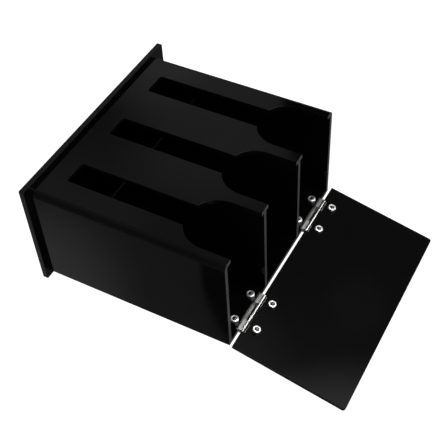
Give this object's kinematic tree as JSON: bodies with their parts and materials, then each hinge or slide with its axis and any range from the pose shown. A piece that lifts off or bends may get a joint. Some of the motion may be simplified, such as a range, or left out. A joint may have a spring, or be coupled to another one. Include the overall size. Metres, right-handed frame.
{
  "type": "chip rack",
  "caption": "Black acrylic dispensing rack with parallel bays under a keyhole face, a base flange at one end and a hinged lid over the open end.",
  "frame": {"origin": "centre of the base flange's outer face", "axes": "+X from the flange to the hinged lid, +Y across the bays, +Z out of the keyhole face"},
  "size_m": [0.2897, 0.218, 0.1327],
  "materials": {
    "black_acrylic": "polished",
    "hinge_steel": "satin nickel",
    "pin_steel": "drawn",
    "plated_screw": "bright zinc",
    "plated_nut": "bright nickel"
  },
  "bodies": {
    "rack": {"base_flange": "black_acrylic", "cover_shell": "black_acrylic", "back_panel": "black_acrylic", "left_divider": "black_acrylic", "right_divider": "black_acrylic", "left_hinge_box_leaf": "hinge_steel", "left_hinge_pin": "pin_steel", "left_box_inner_screw": "plated_screw", "left_box_inner_nut": "plated_nut", "left_box_outer_screw": "plated_screw", "left_box_outer_nut": "plated_nut", "right_hinge_box_leaf": "hinge_steel", "right_hinge_pin": "pin_steel", "right_box_inner_screw": "plated_screw", "right_box_inner_nut": "plated_nut", "right_box_outer_screw": "plated_screw", "right_box_outer_nut": "plated_nut"},
    "lid": {"lid_panel": "black_acrylic", "left_hinge_lid_leaf": "hinge_steel", "left_lid_inner_screw": "plated_screw", "left_lid_inner_nut": "plated_nut", "left_lid_outer_screw": "plated_screw", "left_lid_outer_nut": "plated_nut", "right_hinge_lid_leaf": "hinge_steel", "right_lid_inner_screw": "plated_screw", "right_lid_inner_nut": "plated_nut", "right_lid_outer_screw": "plated_screw", "right_lid_outer_nut": "plated_nut"}
  },
  "joints": [
    {"name": "lid_hinge", "type": "hinge", "parent": "rack", "child": "lid", "pos_m": [0.1871, 0, -0.0531], "axis": [0, -1, 0], "range_deg": [-76.9, 103.1]}
  ]
}
